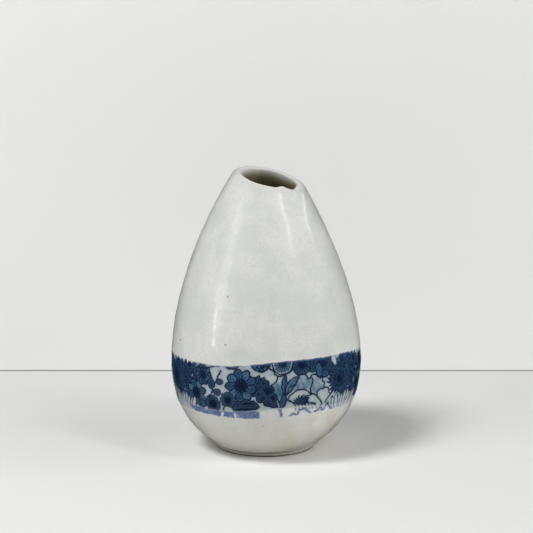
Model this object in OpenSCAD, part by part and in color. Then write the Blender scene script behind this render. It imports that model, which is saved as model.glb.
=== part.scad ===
// Wheel-thrown sake bottle with a pear-shaped body, a slanted pinched mouth, a low bare
// foot ring, a pale glaze inside and out, and a band of transfer-printed cobalt strips.
// Millimetres, +Z up. The origin is the centre of the foot ring's standing face.
// The front faces -Y. Azimuths are measured from the front towards +X.

/* [Body] */
// Greatest outside diameter over the glaze
body_d = 84; // [78:0.5:90]
// Height of the widest part above the table
widest_z = 38.5; // [36:0.5:41]
// Outside diameter of the neck where the upper wall ends
neck_d = 28.2; // [27.4:0.1:29]
// Height where the upper wall ends
neck_z = 121.5; // [120:0.5:124]
// Lean of the upper wall from the vertical at the neck
neck_lean = 28.5; // [27:0.5:30]
// Length of the straight pull above the widest part
shoulder_pull = 38.6; // [34:0.2:42]
// Length of the straight pull below the widest part
belly_pull = 23.5; // [20:0.5:26]
// Wall thickness including the glaze on both faces
wall_t = 3.4; // [3:0.1:4]
// Extra wall thickness left at the heel
heel_extra = 1.4; // [0.8:0.1:1.8]
// Height of the inside floor above the table
floor_z = 4.6; // [4.2:0.1:5]

/* [Foot] */
// Outside diameter of the foot ring
foot_d = 44; // [42:0.5:44.5]
// Width of the foot ring's standing face and wall
foot_w = 3.6; // [3:0.1:5]
// Height of the foot ring
foot_h = 1.6; // [1.2:0.1:1.8]
// Chamfer of the foot ring's lower edges
foot_chamfer = 0.4; // [0.2:0.1:0.6]

/* [Mouth] */
// Radius of the round opening
bore_r = 12.25; // [11.8:0.05:12.4]
// Slant of the mouth from the horizontal
mouth_tilt = 15.9; // [14:0.1:17]
// Azimuth of the low side of the mouth
mouth_azimuth = 52; // [40:1:65]
// Shift of the opening's centre towards the low side
mouth_shift = 2.5; // [2:0.1:2.8]
// Height of the opening's centre
mouth_z = 120.8; // [120.4:0.1:121.2]
// Height of the lip's crest above the opening's edge
crest_h = 0.6; // [0.4:0.1:0.8]

/* [Pinch] */
// Azimuth of the finger dent beside the pouring corner
pinch_azimuth = 33; // [25:1:40]
// Depth of the dent at the rim
pinch_depth = 1.4; // [0.8:0.1:1.6]
// Radius of the fingertip that pressed the dent
finger_r = 5; // [4:0.5:7]
// Angle between the fingertip and the wall, which fades the dent out below
pinch_fade = 4.5; // [3.5:0.5:6]

/* [Glaze and print] */
// Thickness of the glaze
glaze_t = 0.4; // [0.3:0.05:0.5]
// Height of the bare line between the foot ring and the glaze's lower edge
bare_h = 0.4; // [0.3:0.1:0.8]
// Mean height of the printed band's upper edge
band_top = 45.3; // [44:0.1:47]
// Mean height of the printed band's lower edge
band_bottom = 21.4; // [20:0.1:23]
// Height by which the upper edge wanders from its mean
band_top_lift = 1.9; // [0.5:0.1:2.5]
// Height by which the lower edge wanders from its mean
band_bottom_lift = 1.1; // [0.3:0.1:2]
// Azimuth where the band rides highest
band_azimuth = 42; // [0:1:90]
// Azimuth of the seam at the right end of the long strip across the front
seam_azimuth = 88; // [70:1:110]
// Part of the circle that the long front strip covers
long_strip_angle = 180; // [120:5:200]
// Gap left between the ends of two strips, along the widest circle
strip_gap = 0.8; // [0.4:0.1:1.5]

/* [Hidden] */
$fn = 96;
// The two short strips share the rest of the circle behind the long one
strip_count = 3;
short_strip_angle = (360 - long_strip_angle) / (strip_count - 1);
gap_angle = strip_gap / body_d * 360 / PI;
lower_steps = 14;
upper_steps = 18;
dome_steps = 6;
floor_steps = 6;
lip_steps = 8;
// The body's lower curve starts just outside the foot ring
heel_out = 0.6;
heel_r = foot_d / 2 + heel_out;
heel_angle = 37.5;
heel_pull = 6.6;
neck_pull = 3.9;
neck_dir = [-sin(neck_lean), cos(neck_lean)];
neck_p = [neck_d / 2, neck_z];
widest_p = [body_d / 2, widest_z];
heel_p = [heel_r, foot_h];
// Closing curve of the shoulder around the high side of the mouth
dome_pull = 2.4;
dome_round = 3;
dome_r = 8.5;
dome_h = 4.6;
dome_z = neck_z + dome_h;
// The inner cone runs past the mouth so that the opening cuts it cleanly
cone_past = 8;
inner_floor_r = 12;
// The lip's section, in the slanted frame of the mouth
crest_in = 0.95;
crest_r = bore_r + crest_in;
lip_inner_w = 1.25;
lip_inner_h = 1.2;
lip_round = 1;
lip_bend = 0.6;
lip_outer_w = 2.2;
lip_outer_h = 1.1;
lip_slope = 38;
mouth_depth = 8;
// Lengths that reach well past the body
reach = 170;
slope_run = 56;
finger_below = 68;
finger_len = 102;

lower_curve = [heel_p,
               heel_p + heel_pull * [cos(heel_angle), sin(heel_angle)],
               widest_p - [0, belly_pull],
               widest_p];
upper_curve = [widest_p,
               widest_p + [0, shoulder_pull],
               neck_p - neck_pull * neck_dir,
               neck_p];
dome_curve = [neck_p,
              neck_p + dome_pull * neck_dir,
              [dome_r + dome_round, dome_z],
              [dome_r, dome_z]];
// Outer half of the lip: over the crest and down to the slope that clears the low side
lip_curve = [[crest_r, crest_h],
             [crest_r + lip_round, crest_h],
             [crest_r + lip_outer_w - lip_bend, crest_h - lip_outer_h + lip_bend],
             [crest_r + lip_outer_w, crest_h - lip_outer_h]];

function curve_point(c, t) = pow(1 - t, 3) * c[0] + 3 * pow(1 - t, 2) * t * c[1]
                           + 3 * (1 - t) * t * t * c[2] + pow(t, 3) * c[3];
function curve_dir(c, t) = pow(1 - t, 2) * (c[1] - c[0]) + 2 * (1 - t) * t * (c[2] - c[1])
                         + t * t * (c[3] - c[2]);
// Right-hand normal: it points out of the wall when the curve is followed upwards
function side(v) = [v[1], -v[0]] / norm(v);
function moved(c, t, d) = curve_point(c, t) + d * side(curve_dir(c, t));

function lower_wall(d, extra) = [for (i = [0:lower_steps])
    let (t = i / lower_steps) moved(lower_curve, t, d - extra * pow(1 - t, 2))];
function upper_wall(d) = [for (i = [1:upper_steps]) moved(upper_curve, i / upper_steps, d)];
function dome(d) = [for (i = [1:dome_steps]) moved(dome_curve, i / dome_steps, d)];
function last(list) = list[len(list) - 1];
function floor_curve(z, heel) = let (run = (heel[1] - z) / tan(heel_angle))
    [[0, z], [inner_floor_r, z], heel - [run, heel[1] - z], heel];

// Turns a shape made along the mouth's own axis into its slanted place
module at_mouth() {
    rotate([0, 0, mouth_azimuth - 90])
        translate([mouth_shift, 0, mouth_z])
            rotate([0, mouth_tilt, 0])
                children();
}

// Fingertip laid along the upper wall, larger for a face deeper in the wall
module finger(grow) {
    rotate([0, 0, pinch_azimuth - 90])
        translate([neck_d / 2 + finger_r - pinch_depth, 0, neck_z])
            rotate([0, -neck_lean - pinch_fade, 0])
                translate([0, 0, -finger_below])
                    cylinder(r = finger_r + grow, h = finger_len);
}

// Outside of the body, moved out by d
module outer_form(d) {
    low = lower_wall(d, 0);
    difference() {
        rotate_extrude()
            polygon(concat([[0, foot_h], [low[0][0], foot_h]], low, upper_wall(d), dome(d),
                           [[0, dome_z + d]]));
        finger(-d);
    }
}

// Inside of the body, moved out by d from the inner face of the glaze
module inner_form(d) {
    low = lower_wall(d - wall_t, heel_extra);
    bowl = floor_curve(floor_z - d, low[0]);
    high = upper_wall(d - wall_t);
    difference() {
        union() {
            rotate_extrude()
                polygon(concat([for (i = [0:floor_steps - 1]) curve_point(bowl, i / floor_steps)],
                               low, high, [last(high) + cone_past * neck_dir],
                               [[0, last(high)[1] + cone_past * neck_dir[1]]]));
            at_mouth()
                translate([0, 0, -mouth_depth])
                    cylinder(r = bore_r + d, h = 2 * mouth_depth);
        }
        finger(wall_t - d);
    }
}

// Everything under the rounded lip, moved out by d
module lip_form(d) {
    inner_arc = [for (i = [0:lip_steps]) let (a = 180 - 90 * i / lip_steps)
        [crest_r + (lip_inner_w + d) * cos(a), crest_h - lip_inner_h + (lip_inner_h + d) * sin(a)]];
    outer_arc = [for (i = [1:lip_steps]) moved(lip_curve, i / lip_steps, -d)];
    far = last(outer_arc) + slope_run * [cos(lip_slope), -sin(lip_slope)];
    at_mouth()
        rotate_extrude()
            polygon(concat([[0, -reach], [reach, -reach], [reach, far[1]], far],
                           [for (i = [lip_steps - 1:-1:0]) outer_arc[i]],
                           [for (i = [lip_steps:-1:0]) inner_arc[i]],
                           [[0, crest_h - lip_inner_h]]));
}

// The fired clay between its two glazed faces
module clay_wall() {
    intersection() {
        difference() {
            outer_form(-glaze_t);
            inner_form(glaze_t);
        }
        lip_form(-glaze_t);
    }
}

// The whole skin of glaze, inside, outside and over the lip
module glaze_skin() {
    difference() {
        intersection() {
            difference() {
                outer_form(0);
                inner_form(0);
            }
            lip_form(0);
        }
        clay_wall();
    }
}

// Inside of the wall up to half its thickness, which splits the glaze at the lip's crest
module middle_form() {
    union() {
        inner_form(wall_t / 2);
        at_mouth()
            translate([0, 0, -mouth_depth])
                cylinder(r = crest_r, h = 2 * mouth_depth);
    }
}

// Everything below a slightly slanted plane that rides highest at the band's high side
module below(z, lift) {
    rotate([0, 0, band_azimuth - 90])
        translate([0, 0, z])
            rotate([0, -atan(2 * lift / body_d), 0])
                translate([0, 0, -body_d])
                    cylinder(d = 2 * body_d, h = body_d);
}

// Ring of space the printed band takes up
module band_form() {
    difference() {
        below(band_top, band_top_lift);
        below(band_bottom, band_bottom_lift);
    }
}

module clay_body() {
    color([0.78, 0.76, 0.71])
        clay_wall();
}

module foot_ring() {
    color([0.66, 0.6, 0.52])
        rotate_extrude()
            polygon([[foot_d / 2 - foot_w, foot_chamfer],
                     [foot_d / 2 - foot_w + foot_chamfer, 0],
                     [foot_d / 2 - foot_chamfer, 0],
                     [foot_d / 2, foot_chamfer],
                     [foot_d / 2, foot_h],
                     [foot_d / 2 - foot_w, foot_h]]);
}

module outer_glaze() {
    color([0.84, 0.85, 0.82])
        difference() {
            glaze_skin();
            middle_form();
            for (index = [0:strip_count - 1]) strip_window(index);
            cylinder(d = body_d, h = foot_h + bare_h);
        }
}

module inner_glaze() {
    color([0.8, 0.81, 0.77])
        intersection() {
            glaze_skin();
            middle_form();
        }
}

module base_glaze() {
    color([0.84, 0.85, 0.82])
        translate([0, 0, foot_h - glaze_t])
            cylinder(r = foot_d / 2 - foot_w, h = glaze_t);
}

// One of the printed strips: the long one first, then the short ones in order round the back
module transfer_strip(index) {
    color([0.16, 0.26, 0.42])
        intersection() {
            difference() {
                outer_form(0);
                outer_form(-glaze_t);
            }
            strip_window(index);
        }
}

// Space that one strip takes up in the band
module strip_window(index) {
    start = index == 0 ? -long_strip_angle : (index - 1) * short_strip_angle;
    span = index == 0 ? long_strip_angle : short_strip_angle;
    intersection() {
        band_form();
        rotate([0, 0, seam_azimuth - 90 + start + gap_angle / 2])
            rotate_extrude(angle = span - gap_angle)
                square([body_d, neck_z]);
    }
}

module transfer_strip_1() { transfer_strip(0); }
module transfer_strip_2() { transfer_strip(1); }
module transfer_strip_3() { transfer_strip(2); }

clay_body();
foot_ring();
outer_glaze();
inner_glaze();
base_glaze();
transfer_strip_1();
transfer_strip_2();
transfer_strip_3();
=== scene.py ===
"""A hand-thrown sake bottle in pale glaze, with a transfer-printed cobalt band round its belly.

The form is worked out in millimetres and built in metres, in the CAD frame: +Z up, front facing -Y.
A side is an angle round the bottle from the front, in radians, positive towards +X.
"""
import math

import bpy
import numpy as np
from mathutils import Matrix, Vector


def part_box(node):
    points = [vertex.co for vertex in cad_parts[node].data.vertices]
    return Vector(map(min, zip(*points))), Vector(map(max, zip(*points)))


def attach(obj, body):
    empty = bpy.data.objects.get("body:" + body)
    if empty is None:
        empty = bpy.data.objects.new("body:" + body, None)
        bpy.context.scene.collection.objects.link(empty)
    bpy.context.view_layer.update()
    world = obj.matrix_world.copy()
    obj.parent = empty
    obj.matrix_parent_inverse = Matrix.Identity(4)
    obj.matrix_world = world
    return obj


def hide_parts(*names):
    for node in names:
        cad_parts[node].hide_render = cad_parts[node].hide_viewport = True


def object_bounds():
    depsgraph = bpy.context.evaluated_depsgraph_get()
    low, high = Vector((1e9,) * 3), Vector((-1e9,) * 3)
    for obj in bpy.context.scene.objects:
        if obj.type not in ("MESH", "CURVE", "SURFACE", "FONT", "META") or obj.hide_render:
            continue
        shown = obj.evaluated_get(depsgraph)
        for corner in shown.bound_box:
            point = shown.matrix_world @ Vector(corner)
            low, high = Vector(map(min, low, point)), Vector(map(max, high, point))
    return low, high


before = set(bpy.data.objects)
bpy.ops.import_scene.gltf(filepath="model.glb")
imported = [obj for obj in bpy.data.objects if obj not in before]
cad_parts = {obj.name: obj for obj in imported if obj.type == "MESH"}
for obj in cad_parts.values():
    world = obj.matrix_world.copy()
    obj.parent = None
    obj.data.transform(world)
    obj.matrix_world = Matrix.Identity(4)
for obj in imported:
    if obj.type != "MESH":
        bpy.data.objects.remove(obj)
cad_low, cad_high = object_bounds()
MM = 0.001

# ---- Sizes in millimetres, from the CAD frame --------------------
foot_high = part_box("foot_ring")[1]
strip_low, strip_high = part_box("transfer_strip_1")
HEIGHT = cad_high.z / MM
BODY_R = cad_high.x / MM
FOOT_R = foot_high.x / MM
FOOT_H = foot_high.z / MM
RECESS_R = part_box("base_glaze")[1].x / MM
RECESS_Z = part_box("base_glaze")[0].z / MM
BARE_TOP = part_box("outer_glaze")[0].z / MM
WALL = 3.4
HEEL_EXTRA = 1.4
HEEL_OUT = 0.6
GLAZE = 0.4
SKIN_DEPTH = 0.22
FLOOR_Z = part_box("inner_glaze")[0].z / MM + GLAZE

# The meridian: a lower and an upper curve that meet at the widest part, then a straight pull
WIDEST = np.array([BODY_R, 0.308 * HEIGHT])
NECK = np.array([0.336 * BODY_R, 0.971 * HEIGHT])
HEEL = np.array([FOOT_R + HEEL_OUT, FOOT_H])
NECK_LEAN = math.radians(28.5)
NECK_DIR = np.array([-math.sin(NECK_LEAN), math.cos(NECK_LEAN)])
HEEL_ANGLE = math.radians(37.5)
HEEL_DIR = np.array([math.cos(HEEL_ANGLE), math.sin(HEEL_ANGLE)])
HEEL_PULL, BELLY_PULL, SHOULDER_PULL, NECK_PULL = 6.6, 23.5, 38.6, 3.9
NECK_RUN = 12
CURVE_SAMPLES, NECK_SAMPLES = 8001, 1201

# The thrower's marks fade from the shoulder to the neck, and the belly sways towards +X
SHOULDER_Z, NECK_Z = 104, 120
SWAY = 0.38

# The mouth: a circle slanted towards its low side, with a rounded lip
MOUTH_SIDE = math.radians(52)
MOUTH_TILT = math.radians(15.9)
MOUTH_SHIFT = 2.5
MOUTH_Z = 0.952 * HEIGHT
BORE_R = 12.25
BORE_DROP = 0.7
CREST_R = 13.1
CREST_H = 0.5
LIP_LENGTH, LIP_LENGTH_MORE = 2.8, 1.6
THROAT_LENGTH = 11

# The pinch: a finger groove beside a pouring corner, with a glaze run down each edge of it
PINCH_SIDE = math.radians(34.5)
CORNER_SIDE = math.radians(54.5)
GROOVE_DEPTH, GROOVE_LENGTH, GROOVE_WIDTH = 1.25, 27, math.radians(10.5)
CORNER_OUT, CORNER_LENGTH, CORNER_WIDTH = 0.45, 15, math.radians(11)
RUN_BOTTOMS = (85, 88)
RUN_HEIGHT, RUN_WIDTH, RUN_FADE = 0.33, 0.8, 14
LOW_RIDGE_SIDE = math.radians(29)

# The space for the printed strips, which rides highest on one side
BAND_SIDE = math.radians(42)
BAND_TOP = strip_high.z / MM - 1.0
BAND_TOP_LIFT = 1.9
BAND_BOTTOM = strip_low.z / MM + 0.1
BAND_BOTTOM_LIFT = 1.1
SEAMS = [math.radians(a) for a in (-92, 88, 178)]

# Mesh density: the strips have several cells to each cell of the glaze
COLUMNS = 384
FINE = 3
CROWD = 0.25
HEEL_ROWS, BAND_ROWS, WALL_ROWS, LIP_ROWS = 36, 36, 99, 12
MOUTH_ROWS, INSIDE_ROWS, FLOOR_ROWS = 24, 63, 15
RECESS = 0.2


def steps(count, start=0.0, end=1.0):
    """Even values for a run of rows, its last one left to the next run."""
    return np.linspace(start, end, count, endpoint=False)


def smooth(low, high, value):
    """0 below low, 1 above high, with an even S between."""
    t = np.clip((value - low) / (high - low), 0, 1)
    return t * t * (3 - 2 * t)


def hump(value, centre, width):
    """A smooth rise to 1 at centre, gone at about twice width from it."""
    return np.exp(-(((value - centre) / width) ** 2))


def turned(side, centre):
    """Angle from centre to side, the short way round."""
    return (side - centre + math.pi) % (2 * math.pi) - math.pi


# ---- The form ----------------------------------------------------
def cubic(handles, t):
    """Points at t on the cubic with these four handles; t becomes the first axis."""
    weights = ((1 - t) ** 3, 3 * (1 - t) ** 2 * t, 3 * (1 - t) * t * t, t**3)
    return sum(np.multiply.outer(w, np.asarray(h, float)) for w, h in zip(weights, handles))


def meridian_table():
    """Length along the wall from the heel, with the radius, height and lean there."""
    t = np.linspace(0, 1, CURVE_SAMPLES)
    lower = cubic((HEEL, HEEL + HEEL_PULL * HEEL_DIR, WIDEST - (0, BELLY_PULL), WIDEST), t)
    upper = cubic((WIDEST, WIDEST + (0, SHOULDER_PULL), NECK - NECK_PULL * NECK_DIR, NECK), t)
    pull = NECK + np.multiply.outer(np.linspace(0, NECK_RUN, NECK_SAMPLES)[1:], NECK_DIR)
    path = np.concatenate((lower[:-1], upper, pull))
    gaps = np.diff(path, axis=0)
    length = np.concatenate(([0], np.cumsum(np.linalg.norm(gaps, axis=1))))
    lean = np.arctan2(gaps[:, 0], gaps[:, 1])
    return length, path[:, 0], path[:, 1], np.concatenate((lean[:1], lean))


LENGTH, RADIUS, RISE, LEAN = meridian_table()


def wall_point(length, depth=0.0):
    """(radius, height) on the wall at a length along it, moved in by depth."""
    lean = np.interp(length, LENGTH, LEAN)
    radius = np.interp(length, LENGTH, RADIUS) - depth * np.cos(lean)
    return np.stack((radius, np.interp(length, LENGTH, RISE) + depth * np.sin(lean)), -1)


def wall_depth(length):
    """Thickness of the wall, which grows towards the heel."""
    heel = np.clip(1 - length / np.interp(WIDEST[1], RISE, LENGTH), 0, 1)
    return WALL + HEEL_EXTRA * heel**2


def mouth_plane(side, reach):
    """Height of the mouth's slanted plane at a distance from the axis."""
    return MOUTH_Z - math.tan(MOUTH_TILT) * (reach * np.cos(side - MOUTH_SIDE) - MOUTH_SHIFT)


def rim(side, radius, rise):
    """(radius, height) of a slanted circle about the mouth's own centre."""
    along, across = np.cos(side - MOUTH_SIDE), np.sin(side - MOUTH_SIDE)
    squeeze = math.cos(MOUTH_TILT) ** -2
    a = along**2 * squeeze + across**2
    b = -2 * along * MOUTH_SHIFT * squeeze
    c = MOUTH_SHIFT**2 * squeeze - radius**2
    reach = (np.sqrt(b * b - 4 * a * c) - b) / (2 * a)
    return np.stack((reach, mouth_plane(side, reach) + rise), -1)


def wall_top(side):
    """Length along the wall at which it meets the mouth's plane."""
    height = np.full_like(side, MOUTH_Z)
    for _ in range(30):
        height = mouth_plane(side, np.interp(height, RISE, RADIUS))
    return np.interp(height, RISE, LENGTH)


def direction(slope):
    """Unit steps towards the axis that rise by slope for each millimetre."""
    step = np.stack((-np.ones_like(slope), slope), -1)
    return step / np.linalg.norm(step, axis=-1, keepdims=True)


def band_edges(side):
    """Lengths along the wall of the lower and upper edges of the strips' space."""
    ride = np.cos(side - BAND_SIDE)
    low = BAND_BOTTOM + BAND_BOTTOM_LIFT * ride
    high = BAND_TOP + BAND_TOP_LIFT * ride
    return np.interp(low, RISE, LENGTH), np.interp(high, RISE, LENGTH)


def glaze_edge(side):
    """Length along the wall at which the wiped lower edge of the glaze lies."""
    wander = 0.28 * np.sin(3 * side + 0.7) + 0.2 * np.sin(7 * side) + 0.5 * hump(turned(side, 0.9), 0, 0.12)
    return np.interp(BARE_TOP + 0.1 + 0.6 * wander, RISE, LENGTH)


def outside_rows(side):
    """Section rows of the outside, from the glaze's lower edge to the lip's crest."""
    edge, (low, high) = glaze_edge(side), band_edges(side)
    top = wall_top(side)
    high_side = (1 - np.cos(side - MOUTH_SIDE)) / 2
    start = top - LIP_LENGTH - LIP_LENGTH_MORE * high_side
    spans = ((edge, low, HEEL_ROWS), (low, high, BAND_ROWS), (high, start, WALL_ROWS))
    rows = [wall_point(a + np.multiply.outer(steps(n), b - a)) for a, b, n in spans]
    crest = rim(side, CREST_R, CREST_H)
    shoulder = wall_point(start)
    reach = np.linalg.norm(crest - shoulder, axis=-1, keepdims=True)
    lean = np.interp(start, LENGTH, LEAN)
    wall_dir = np.stack((np.sin(lean), np.cos(lean)), -1)
    level = direction(math.tan(MOUTH_TILT) * np.cos(side - MOUTH_SIDE))
    lip = (shoulder, shoulder + 0.55 * reach * wall_dir, crest - 0.5 * reach * level, crest)
    return np.concatenate(rows + [cubic(lip, np.linspace(0, 1, LIP_ROWS + 1))])


def inside_rows(side):
    """Section rows of the inside, from the lip's crest to the middle of the floor."""
    crest = rim(side, CREST_R, CREST_H)
    bore = rim(side, BORE_R, -BORE_DROP)
    level = direction(math.tan(MOUTH_TILT) * np.cos(side - MOUTH_SIDE))
    start = wall_top(side) - THROAT_LENGTH
    join = wall_point(start, wall_depth(start))
    lean = np.interp(start, LENGTH, LEAN)
    down = -np.stack((np.sin(lean), np.cos(lean)), -1)
    drop = np.array([0.12, -1.0])
    fall = np.linalg.norm(join - bore, axis=-1, keepdims=True)
    over = (crest, crest + 0.75 * level, bore - 0.75 * drop, bore)
    throat = (bore, bore + 0.3 * fall * drop, join - 0.4 * fall * down, join)
    lengths = np.multiply.outer(steps(INSIDE_ROWS, 1, 0), start)
    heel = wall_point(np.zeros_like(side), wall_depth(0.0))
    run = ((heel[0, 1] - FLOOR_Z) / math.tan(HEEL_ANGLE), heel[0, 1] - FLOOR_Z)
    floor = (heel, heel - run, np.multiply.outer(np.ones_like(side), (12, FLOOR_Z)),
             np.multiply.outer(np.ones_like(side), (0, FLOOR_Z)))
    return np.concatenate((
        cubic(over, steps(MOUTH_ROWS // 2)),
        cubic(throat, steps(MOUTH_ROWS // 2)),
        wall_point(lengths, wall_depth(lengths)),
        cubic(floor, np.linspace(0, 0.97, FLOOR_ROWS + 1)),
    ))


def unevenness(side, height):
    """How far the thrower's hand left the wall outside its true curve."""
    turn = side / (2 * math.pi)
    rings = 0.05 * np.sin(2 * math.pi * (height / 7.3 - turn))
    rings += 0.045 * np.sin(2 * math.pi * (height / 11.9 - turn) + 1.3)
    rings += 0.07 * hump(height, 86 + 1.5 * np.cos(side), 1.6) - 0.05 * hump(height, 71, 2.2)
    swell = 0.14 * np.sin(2 * side + 0.5 + height / 40) + 0.08 * np.sin(3 * side - height / 23)
    swell += 0.05 * np.sin(5 * side + height / 9) * np.sin(height / 13)
    return (rings + swell) * smooth(3, 20, height) * smooth(NECK_Z, SHOULDER_Z, height)


def spun(reach, height, side):
    """Points in space, from the distance from the axis, the height and the side."""
    return np.stack((reach * np.sin(side), -reach * np.cos(side), height + 0 * side), -1)


def place(section, side):
    """Points in space for section rows, with the marks of the maker's hands."""
    reach, height = section[..., 0], section[..., 1]
    depth = np.maximum(rim(side, CREST_R, CREST_H)[..., 1] - height, 0)
    groove = hump(turned(side, PINCH_SIDE), 0, GROOVE_WIDTH)
    corner = hump(turned(side, CORNER_SIDE), 0, CORNER_WIDTH)
    near_rim = np.exp(-depth / 3.5)
    bulk = smooth(0, 18, reach)
    moved = reach + bulk * unevenness(side, height)
    moved += bulk * CORNER_OUT * corner * smooth(CORNER_LENGTH, 0, depth)
    moved -= bulk * GROOVE_DEPTH * groove * smooth(GROOVE_LENGTH, 0, depth)
    wobble = 0.16 * np.sin(2 * side + 2.1) + 0.1 * np.sin(5 * side + 0.4)
    raised = height + near_rim * (0.9 * groove - 0.45 * corner + wobble)
    sway = SWAY * np.where(height < WIDEST[1], smooth(0, WIDEST[1], height),
                           1 - 2 * smooth(WIDEST[1], SHOULDER_Z, height))
    points = spun(moved, raised, side)
    points[..., 0] += sway
    return points


def normals(points, closed):
    """Outward unit normals of a grid of points, rows by columns."""
    if closed:
        round_step = np.roll(points, -1, axis=1) - np.roll(points, 1, axis=1)
    else:
        round_step = np.gradient(points, axis=1)
    up = np.cross(round_step, np.gradient(points, axis=0))
    return up / np.linalg.norm(up, axis=-1, keepdims=True)


def run_side(height, number):
    """Side of a glaze run at each height: they leave the groove's two edges and wander down."""
    if number == 0:
        return np.radians(23.8 - 1.3 * smooth(96, 108, height) + 1.1 * np.sin(height / 2.6))
    return np.radians(46.3 + 0.03 * np.clip(height - 92, 0, 24) ** 2 + 1.2 * np.sin(height / 2.9))


def glaze_depth(section, side, outside):
    """Thickness of the glaze: a roll at its lower edge, less of it on the lip, more of it in two runs."""
    reach, height = section[..., 0], section[..., 1]
    crest = rim(side, CREST_R, CREST_H)[..., 1]
    depth = GLAZE - 0.12 * hump(crest - height, 0, 0.6)
    if not outside:
        return depth
    for number, bottom in enumerate(RUN_BOTTOMS):
        path = run_side(height, number)
        gap = turned(side, path) * reach
        beads = 0.62 + 0.38 * np.sin(height * 2.3 + number) * np.sin(height * 0.9 + 2)
        span = smooth(bottom, bottom + RUN_FADE, height) * smooth(0.6, 3.5, crest - height)
        depth = depth + RUN_HEIGHT * beads * span * hump(gap, 0, RUN_WIDTH)
        depth = depth + 0.1 * span * hump(gap, 0, 3 * RUN_WIDTH)
    gap = turned(side, LOW_RIDGE_SIDE) * reach
    depth = depth + 0.14 * hump(gap, 0, RUN_WIDTH) * smooth(8, 13, height) * smooth(23, 19, height)
    rise = height - np.interp(glaze_edge(side), LENGTH, RISE)
    roll = smooth(0, 0.55, rise)
    return depth * roll + 0.16 * hump(rise, 0.9, 0.6) * roll


# ---- Meshes ------------------------------------------------------
def ring_pairs(ring):
    """Each item of a ring with the one after it."""
    return zip(ring, ring[1:] + ring[:1])


def quads(rows, columns, closed):
    """Faces of a grid whose rows climb the outside, wound to face outwards."""
    row = np.arange(rows - 1)[:, None] * columns
    column = np.arange(columns if closed else columns - 1)
    after = (column + 1) % columns
    corners = (row + column, row + after, row + columns + after, row + columns + column)
    return np.stack(np.broadcast_arrays(*corners), -1).reshape(-1, 4).tolist()


def backing(shape, closed, capped, first):
    """Coarse faces behind a grid, which share its edges, and the grid cells they start from.

    The inner corners are new points numbered from first; a side that lies on the grid's edge
    runs through all of the edge's points.
    """
    rows, columns = shape
    row_list = list(range(0, rows, FINE))
    if row_list[-1] != rows - 1:
        row_list.append(rows - 1)
    column_list = list(range(0, columns, FINE))
    if not closed and column_list[-1] != columns - 1:
        column_list.append(columns - 1)
    edge_rows = {0} if capped else {0, rows - 1}
    edge_columns = set() if closed else {0, columns - 1}
    index, cells = {}, []
    for r in row_list:
        for c in column_list:
            if r in edge_rows or c in edge_columns:
                index[r, c] = r * columns + c
            else:
                index[r, c] = first + len(cells)
                cells.append((r, c))

    def side_points(start, end):
        """Points from start up to, but not at, end."""
        (r0, c0), (r1, c1) = start, end
        if r0 == r1 and r0 in edge_rows:
            step = 1 if (c1 - c0) % columns <= FINE else -1
            count = (c1 - c0) % columns if step == 1 else (c0 - c1) % columns
            return [r0 * columns + (c0 + step * n) % columns for n in range(count)]
        if c0 == c1 and c0 in edge_columns:
            step = 1 if r1 > r0 else -1
            return [r * columns + c0 for r in range(r0, r1, step)]
        return [index[start]]

    faces = []
    pairs = list(ring_pairs(column_list))
    if not closed:
        pairs.pop()
    for low, high in zip(row_list, row_list[1:]):
        for left, right in pairs:
            ring = ((low, left), (high, left), (high, right), (low, right))
            face = []
            for n in range(4):
                face += side_points(ring[n], ring[(n + 1) % 4])
            faces.append(face)
    last = [index[row_list[-1], c] for c in column_list]
    return faces, cells, last


def make_piece(name, points, faces, facing=None, fields=None):
    """A smooth mesh object, with its own normals and point fields where they are given."""
    mesh = bpy.data.meshes.new(name)
    mesh.from_pydata((points * MM).tolist(), [], faces)
    mesh.validate()
    mesh.shade_smooth()
    for key, values in (fields or {}).items():
        layer = mesh.attributes.new(key, "FLOAT", "POINT")
        layer.data.foreach_set("value", values.astype(np.float32))
    if facing is not None:
        mesh.normals_split_custom_set_from_vertices(facing.tolist())
    piece = bpy.data.objects.new(name, mesh)
    bpy.context.scene.collection.objects.link(piece)
    return piece


def shell_piece(name, front, facing, depth, closed=True, capped=False, fields=None):
    """A closed thin shell behind a grid of front points; capped ends the last row in one point."""
    rows, columns = front.shape[:2]
    behind = front - facing * depth[..., None]
    points, sides = front.reshape(-1, 3), facing.reshape(-1, 3)
    faces = quads(rows, columns, closed)
    back_faces, cells, last = backing((rows, columns), closed, capped, len(points))
    inner = np.array([behind[cell] for cell in cells])
    inner_facing = np.array([-facing[cell] for cell in cells])
    parts, facings = [points, inner], [sides, inner_facing]
    faces += back_faces
    if capped:
        top = len(points) + len(inner)
        parts.append(np.array([front[-1].mean(0), behind[-1].mean(0)]))
        facings.append(np.array([[0, 0, 1.0], [0, 0, -1.0]]))
        ring = [(rows - 1) * columns + c for c in range(columns)]
        faces += [[a, b, top] for a, b in ring_pairs(ring)]
        faces += [[b, a, top + 1] for a, b in ring_pairs(last)]
    all_points = np.concatenate(parts)
    padded = {}
    for key, values in (fields or {}).items():
        padded[key] = np.concatenate((values.ravel(), np.zeros(len(all_points) - values.size)))
    return make_piece(name, all_points, faces, np.concatenate(facings), padded)


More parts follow.
